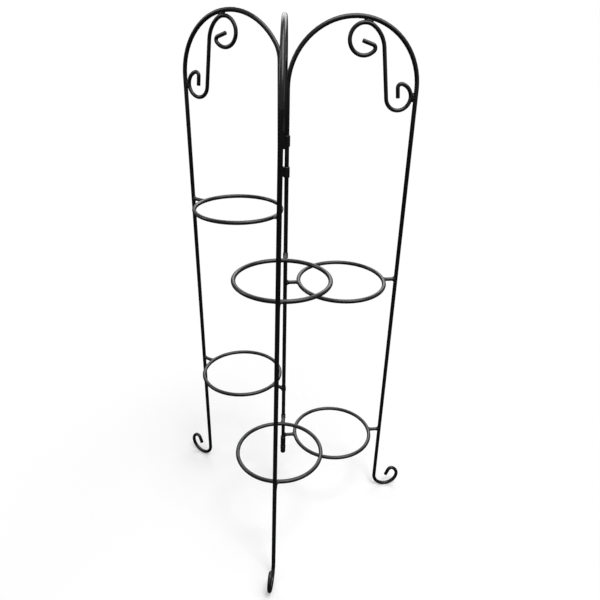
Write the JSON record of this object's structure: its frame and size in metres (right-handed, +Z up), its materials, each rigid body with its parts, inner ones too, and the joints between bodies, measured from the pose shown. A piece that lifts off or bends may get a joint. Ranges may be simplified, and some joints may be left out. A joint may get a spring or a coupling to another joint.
{
  "type": "tiered plant stand",
  "caption": "Tall folding wire plant stand: arched panels hinged on a shared pole, pot rings stepping down around it, S-scrolls under the arches and curled feet.",
  "frame": {"origin": "on the floor, at the middle of the plan outline of the stand as pictured", "axes": "+Z up; +X towards the right panel as seen in the picture, -Y towards the viewer and the front panel"},
  "size_m": [0.522, 0.4316, 1.0398],
  "materials": {
    "frame_paint": "gloss",
    "ring_paint": "gloss",
    "hinge_paint": "satin",
    "weld_paint": "satin"
  },
  "bodies": {
    "right_panel": {"pole_end_cap": "hinge_paint", "pole_end_collar": "hinge_paint", "pole_end_sleeve": "hinge_paint", "right_frame_wire": "frame_paint", "right_lower_inner_stub": "ring_paint", "right_lower_outer_stub": "ring_paint", "right_lower_ring": "ring_paint", "right_s_scroll": "frame_paint", "right_scroll_welds": "weld_paint", "right_upper_inner_stub": "ring_paint", "right_upper_outer_stub": "ring_paint", "right_upper_ring": "ring_paint"},
    "left_panel": {"left_frame_wire": "frame_paint", "left_hinge_sleeve": "hinge_paint", "left_hinge_web": "hinge_paint", "left_lower_ferrule": "hinge_paint", "left_lower_inner_stub": "ring_paint", "left_lower_outer_stub": "ring_paint", "left_lower_ring": "ring_paint", "left_s_scroll": "frame_paint", "left_scroll_welds": "weld_paint", "left_upper_inner_stub": "ring_paint", "left_upper_outer_stub": "ring_paint", "left_upper_ring": "ring_paint"},
    "front_panel": {"front_frame_wire": "frame_paint", "front_hinge_sleeve": "hinge_paint", "front_hinge_web": "hinge_paint", "front_lower_ferrule": "hinge_paint", "front_lower_inner_stub": "ring_paint", "front_lower_outer_stub": "ring_paint", "front_lower_ring": "ring_paint", "front_s_scroll": "frame_paint", "front_scroll_welds": "weld_paint", "front_upper_ferrule": "hinge_paint", "front_upper_inner_stub": "ring_paint", "front_upper_outer_stub": "ring_paint", "front_upper_ring": "ring_paint"}
  },
  "joints": [
    {"name": "left_panel_hinge", "type": "hinge", "parent": "right_panel", "child": "left_panel", "pos_m": [-0.02011, 0.06725, 0.777], "axis": [0, 0, 1], "range_deg": [-95, 25]},
    {"name": "front_panel_hinge", "type": "hinge", "parent": "right_panel", "child": "front_panel", "pos_m": [-0.02011, 0.06725, 0.832], "axis": [0, 0, 1], "range_deg": [-25, 60]}
  ]
}
